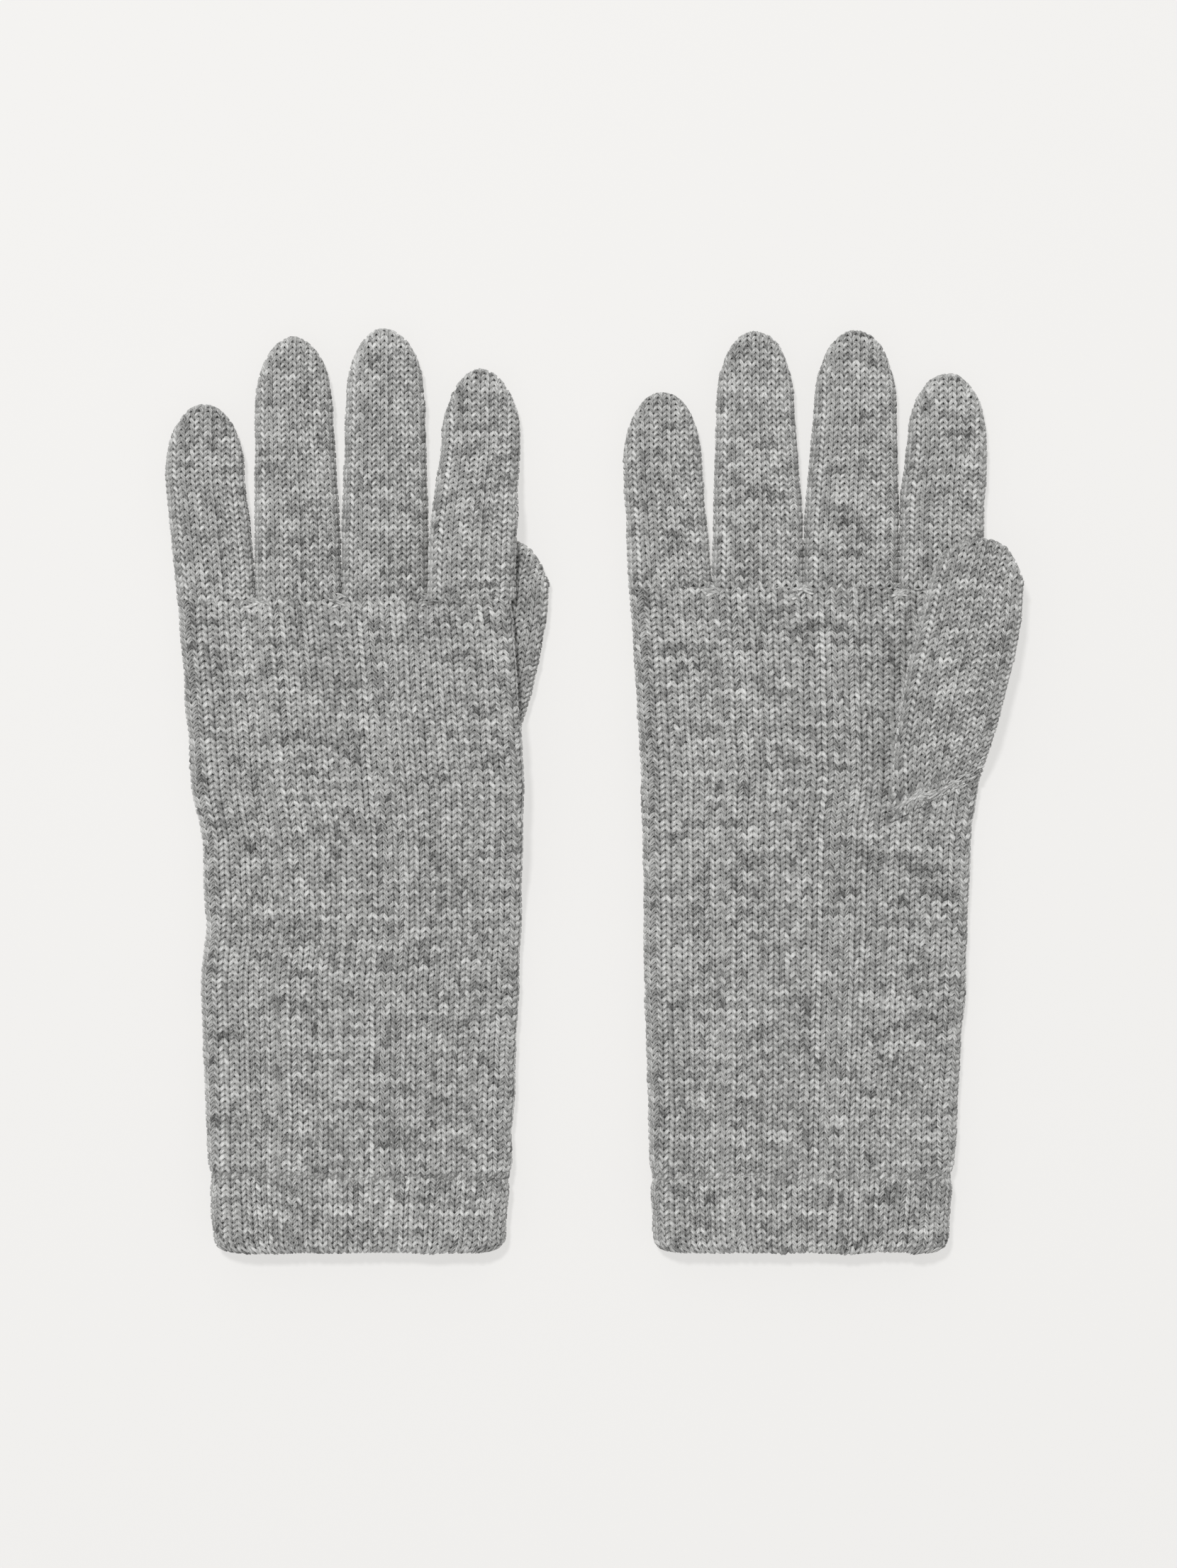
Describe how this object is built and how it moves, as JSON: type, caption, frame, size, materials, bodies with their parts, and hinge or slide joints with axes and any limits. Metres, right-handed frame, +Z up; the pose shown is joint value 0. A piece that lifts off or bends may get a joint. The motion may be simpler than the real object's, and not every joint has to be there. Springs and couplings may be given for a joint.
{
  "type": "knitted gloves",
  "caption": "Plain knitted wool-blend gloves with long cuffs and folded hems, laid flat: fingers, thumbs and cuffs fold at their natural bends.",
  "frame": {"origin": "centre of the pair on the surface they lie on", "axes": "+X to the right across the pair, +Y towards the fingertips, +Z up off the surface"},
  "size_m": [0.242, 0.2612, 0.018],
  "materials": {
    "wool_knit": "plain stockinette in mid-grey melange yarn, matt and slightly hairy",
    "hem_knit": "the same yarn in a doubled, turned hem",
    "linking_thread": "the same yarn in a tight linking chain"
  },
  "bodies": {
    "right_hand": {"right_hand": "wool_knit", "right_index_root": "wool_knit"},
    "right_cuff": {"right_gauntlet": "wool_knit", "right_hem_band": "hem_knit", "right_hem_facing": "hem_knit", "right_hem_linking_thread": "linking_thread"},
    "right_thumb_lower": {"right_thumb_lower": "wool_knit"},
    "right_thumb_tip": {"right_thumb_tip": "wool_knit"},
    "right_pinky_lower": {"right_pinky_lower": "wool_knit"},
    "right_pinky_mid": {"right_pinky_mid": "wool_knit"},
    "right_pinky_tip": {"right_pinky_tip": "wool_knit"},
    "right_ring_lower": {"right_ring_lower": "wool_knit"},
    "right_ring_mid": {"right_ring_mid": "wool_knit"},
    "right_ring_tip": {"right_ring_tip": "wool_knit"},
    "right_middle_lower": {"right_middle_lower": "wool_knit"},
    "right_middle_mid": {"right_middle_mid": "wool_knit"},
    "right_middle_tip": {"right_middle_tip": "wool_knit"},
    "right_index_lower": {"right_index_lower": "wool_knit"},
    "right_index_mid": {"right_index_mid": "wool_knit"},
    "right_index_tip": {"right_index_tip": "wool_knit"},
    "left_hand": {"left_hand": "wool_knit", "left_index_root": "wool_knit"},
    "left_cuff": {"left_gauntlet": "wool_knit", "left_hem_band": "hem_knit", "left_hem_facing": "hem_knit", "left_hem_linking_thread": "linking_thread"},
    "left_thumb_lower": {"left_thumb_lower": "wool_knit"},
    "left_thumb_tip": {"left_thumb_tip": "wool_knit"},
    "left_pinky_lower": {"left_pinky_lower": "wool_knit"},
    "left_pinky_mid": {"left_pinky_mid": "wool_knit"},
    "left_pinky_tip": {"left_pinky_tip": "wool_knit"},
    "left_ring_lower": {"left_ring_lower": "wool_knit"},
    "left_ring_mid": {"left_ring_mid": "wool_knit"},
    "left_ring_tip": {"left_ring_tip": "wool_knit"},
    "left_middle_lower": {"left_middle_lower": "wool_knit"},
    "left_middle_mid": {"left_middle_mid": "wool_knit"},
    "left_middle_tip": {"left_middle_tip": "wool_knit"},
    "left_index_lower": {"left_index_lower": "wool_knit"},
    "left_index_mid": {"left_index_mid": "wool_knit"},
    "left_index_tip": {"left_index_tip": "wool_knit"}
  },
  "joints": [
    {"name": "right_wrist_fold", "type": "hinge", "parent": "right_hand", "child": "right_cuff", "pos_m": [0.06141, -0.055, 0.009], "axis": [-1, 0, 0], "range_deg": [0, 70]},
    {"name": "right_thumb_root_fold", "type": "hinge", "parent": "right_hand", "child": "right_thumb_lower", "pos_m": [0.0966, -0.0026, 0.00915], "axis": [0.8849, 0.4657, 0], "range_deg": [0, 85]},
    {"name": "right_thumb_tip_fold", "type": "hinge", "parent": "right_thumb_lower", "child": "right_thumb_tip", "pos_m": [0.10325, 0.036, 0.00915], "axis": [-1, 0, 0], "range_deg": [0, 55]},
    {"name": "right_pinky_root_fold", "type": "hinge", "parent": "right_hand", "child": "right_pinky_lower", "pos_m": [0.02175, 0.0576, 0.009], "axis": [1, 0, 0], "range_deg": [0, 80]},
    {"name": "right_pinky_middle_fold", "type": "hinge", "parent": "right_pinky_lower", "child": "right_pinky_mid", "pos_m": [0.02175, 0.0774, 0.009], "axis": [1, 0, 0], "range_deg": [0, 90]},
    {"name": "right_pinky_tip_fold", "type": "hinge", "parent": "right_pinky_mid", "child": "right_pinky_tip", "pos_m": [0.02175, 0.095, 0.009], "axis": [1, 0, 0], "range_deg": [0, 50]},
    {"name": "right_ring_root_fold", "type": "hinge", "parent": "right_hand", "child": "right_ring_lower", "pos_m": [0.0466, 0.0576, 0.009], "axis": [1, 0, 0], "range_deg": [0, 80]},
    {"name": "right_ring_middle_fold", "type": "hinge", "parent": "right_ring_lower", "child": "right_ring_mid", "pos_m": [0.0466, 0.08359, 0.009], "axis": [1, 0, 0], "range_deg": [0, 90]},
    {"name": "right_ring_tip_fold", "type": "hinge", "parent": "right_ring_mid", "child": "right_ring_tip", "pos_m": [0.0466, 0.1067, 0.009], "axis": [1, 0, 0], "range_deg": [0, 50]},
    {"name": "right_middle_root_fold", "type": "hinge", "parent": "right_hand", "child": "right_middle_lower", "pos_m": [0.0731, 0.0576, 0.009], "axis": [1, 0, 0], "range_deg": [0, 80]},
    {"name": "right_middle_middle_fold", "type": "hinge", "parent": "right_middle_lower", "child": "right_middle_mid", "pos_m": [0.0731, 0.0837, 0.009], "axis": [1, 0, 0], "range_deg": [0, 90]},
    {"name": "right_middle_tip_fold", "type": "hinge", "parent": "right_middle_mid", "child": "right_middle_tip", "pos_m": [0.0731, 0.1069, 0.009], "axis": [1, 0, 0], "range_deg": [0, 50]},
    {"name": "right_index_root_fold", "type": "hinge", "parent": "right_hand", "child": "right_index_lower", "pos_m": [0.09855, 0.0728, 0.009], "axis": [1, 0, 0], "range_deg": [0, 80]},
    {"name": "right_index_middle_fold", "type": "hinge", "parent": "right_index_lower", "child": "right_index_mid", "pos_m": [0.09855, 0.08907, 0.009], "axis": [1, 0, 0], "range_deg": [0, 90]},
    {"name": "right_index_tip_fold", "type": "hinge", "parent": "right_index_mid", "child": "right_index_tip", "pos_m": [0.09855, 0.10354, 0.009], "axis": [1, 0, 0], "range_deg": [0, 50]},
    {"name": "left_wrist_fold", "type": "hinge", "parent": "left_hand", "child": "left_cuff", "pos_m": [-0.06595, -0.055, 0], "axis": [1, 0, 0], "range_deg": [0, 70]},
    {"name": "left_thumb_root_fold", "type": "hinge", "parent": "left_hand", "child": "left_thumb_lower", "pos_m": [-0.0364, -0.0026, 0.00885], "axis": [-0.8849, -0.4657, 0], "range_deg": [0, 85]},
    {"name": "left_thumb_tip_fold", "type": "hinge", "parent": "left_thumb_lower", "child": "left_thumb_tip", "pos_m": [-0.02975, 0.036, 0.00885], "axis": [1, 0, 0], "range_deg": [0, 55]},
    {"name": "left_pinky_root_fold", "type": "hinge", "parent": "left_hand", "child": "left_pinky_lower", "pos_m": [-0.1064, 0.0542, 0], "axis": [-1, 0, 0], "range_deg": [0, 80]},
    {"name": "left_pinky_middle_fold", "type": "hinge", "parent": "left_pinky_lower", "child": "left_pinky_mid", "pos_m": [-0.1064, 0.07404, 0], "axis": [-1, 0, 0], "range_deg": [0, 90]},
    {"name": "left_pinky_tip_fold", "type": "hinge", "parent": "left_pinky_mid", "child": "left_pinky_tip", "pos_m": [-0.1064, 0.09167, 0], "axis": [-1, 0, 0], "range_deg": [0, 50]},
    {"name": "left_ring_root_fold", "type": "hinge", "parent": "left_hand", "child": "left_ring_lower", "pos_m": [-0.08305, 0.0542, 0], "axis": [-1, 0, 0], "range_deg": [0, 80]},
    {"name": "left_ring_middle_fold", "type": "hinge", "parent": "left_ring_lower", "child": "left_ring_mid", "pos_m": [-0.08305, 0.08084, 0], "axis": [-1, 0, 0], "range_deg": [0, 90]},
    {"name": "left_ring_tip_fold", "type": "hinge", "parent": "left_ring_mid", "child": "left_ring_tip", "pos_m": [-0.08305, 0.10452, 0], "axis": [-1, 0, 0], "range_deg": [0, 50]},
    {"name": "left_middle_root_fold", "type": "hinge", "parent": "left_hand", "child": "left_middle_lower", "pos_m": [-0.05845, 0.0542, 0], "axis": [-1, 0, 0], "range_deg": [0, 80]},
    {"name": "left_middle_middle_fold", "type": "hinge", "parent": "left_middle_lower", "child": "left_middle_mid", "pos_m": [-0.05845, 0.0817, 0], "axis": [-1, 0, 0], "range_deg": [0, 90]},
    {"name": "left_middle_tip_fold", "type": "hinge", "parent": "left_middle_mid", "child": "left_middle_tip", "pos_m": [-0.05845, 0.10615, 0], "axis": [-1, 0, 0], "range_deg": [0, 50]},
    {"name": "left_index_root_fold", "type": "hinge", "parent": "left_hand", "child": "left_index_lower", "pos_m": [-0.03365, 0.0728, 0.009], "axis": [-1, 0, 0], "range_deg": [0, 80]},
    {"name": "left_index_middle_fold", "type": "hinge", "parent": "left_index_lower", "child": "left_index_mid", "pos_m": [-0.03365, 0.08943, 0.00344], "axis": [-1, 0, 0], "range_deg": [0, 90]},
    {"name": "left_index_tip_fold", "type": "hinge", "parent": "left_index_mid", "child": "left_index_tip", "pos_m": [-0.03365, 0.10422, 0], "axis": [-1, 0, 0], "range_deg": [0, 50]},
    {"name": "left_glove_lift", "type": "slide", "parent": "right_hand", "child": "left_hand", "axis": [0, 0, 1], "range_m": [0, 0.1]}
  ],
  "couplings": [
    {"joint": "right_thumb_tip_fold", "follows": "right_thumb_root_fold", "ratio": 0.6},
    {"joint": "right_pinky_tip_fold", "follows": "right_pinky_middle_fold", "ratio": 0.55},
    {"joint": "right_ring_tip_fold", "follows": "right_ring_middle_fold", "ratio": 0.55},
    {"joint": "right_middle_tip_fold", "follows": "right_middle_middle_fold", "ratio": 0.55},
    {"joint": "right_index_tip_fold", "follows": "right_index_middle_fold", "ratio": 0.55},
    {"joint": "left_thumb_tip_fold", "follows": "left_thumb_root_fold", "ratio": 0.6},
    {"joint": "left_pinky_tip_fold", "follows": "left_pinky_middle_fold", "ratio": 0.55},
    {"joint": "left_ring_tip_fold", "follows": "left_ring_middle_fold", "ratio": 0.55},
    {"joint": "left_middle_tip_fold", "follows": "left_middle_middle_fold", "ratio": 0.55},
    {"joint": "left_index_tip_fold", "follows": "left_index_middle_fold", "ratio": 0.55}
  ]
}
